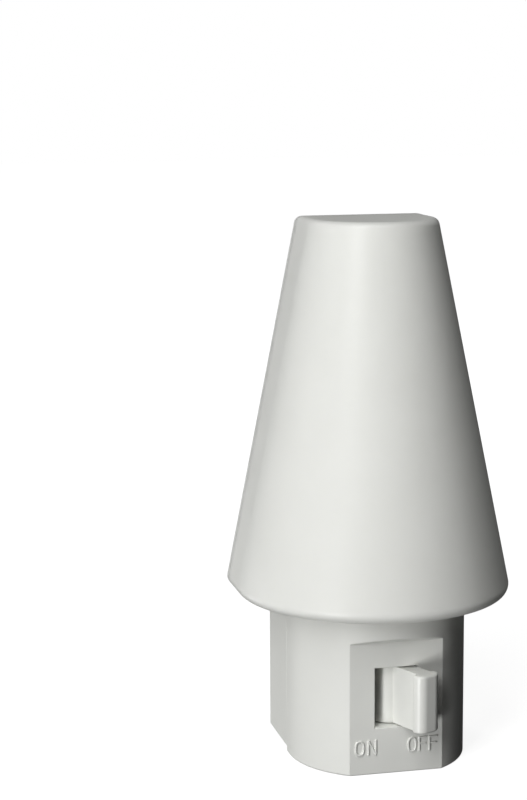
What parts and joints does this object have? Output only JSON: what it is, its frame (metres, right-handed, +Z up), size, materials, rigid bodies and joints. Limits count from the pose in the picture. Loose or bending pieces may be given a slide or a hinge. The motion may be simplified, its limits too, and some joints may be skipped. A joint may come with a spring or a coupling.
{
  "type": "plug-in night light",
  "caption": "White plug-in night light: tapered frosted shade with a flat back on a half-round body, swing switch lever in a flat front panel, flat blades behind.",
  "frame": {"origin": "middle of the outlet face, halfway between the two blades", "axes": "+Z up, +Y out of the outlet face along the blades into the wall, +X to the right seen from the switch side"},
  "size_m": [0.0524, 0.0563, 0.1023],
  "materials": {
    "shade_plastic": "frosted white, fine satin grain",
    "body_plastic": "opaque white, satin",
    "lever_plastic": "opaque white, smooth",
    "blade_metal": "nickel-plated brass",
    "contact_brass": "bare stamped brass",
    "spring_bronze": "bare rolled bronze",
    "retainer_plastic": "natural, as moulded",
    "screw_steel": "zinc plated",
    "board_laminate": "green solder mask",
    "film_case": "red epoxy box",
    "can_sleeve": "dark shrink sleeve",
    "mould_black": "black moulding compound",
    "resistor_coat": "tan lacquer",
    "wire_tin": "tinned wire",
    "led_resin": "milky white epoxy"
  },
  "bodies": {
    "night_light": {"shade": "shade_plastic", "shade_back": "shade_plastic", "front_housing": "body_plastic", "rear_cover": "body_plastic", "cover_screws": "screw_steel", "contact_line": "contact_brass", "contact_load": "contact_brass", "detent_spring": "spring_bronze", "blade_neutral": "blade_metal", "blade_line": "blade_metal", "blade_retainer": "retainer_plastic", "circuit_board": "board_laminate", "film_capacitor": "film_case", "smoothing_capacitor": "can_sleeve", "bridge_rectifier": "mould_black", "resistor_leads": "wire_tin", "led": "led_resin", "led_legs": "wire_tin", "fusible_resistor": "resistor_coat", "bleed_resistor": "resistor_coat", "led_resistor": "resistor_coat"},
    "lever": {"switch_lever": "lever_plastic", "bridge_contact": "contact_brass"}
  },
  "joints": [
    {"name": "switch_swing", "type": "hinge", "parent": "night_light", "child": "lever", "pos_m": [0, -0.0254, 0], "axis": [0, 0, 1], "range_deg": [-48, 0], "deforming": ["detent_spring"]}
  ]
}
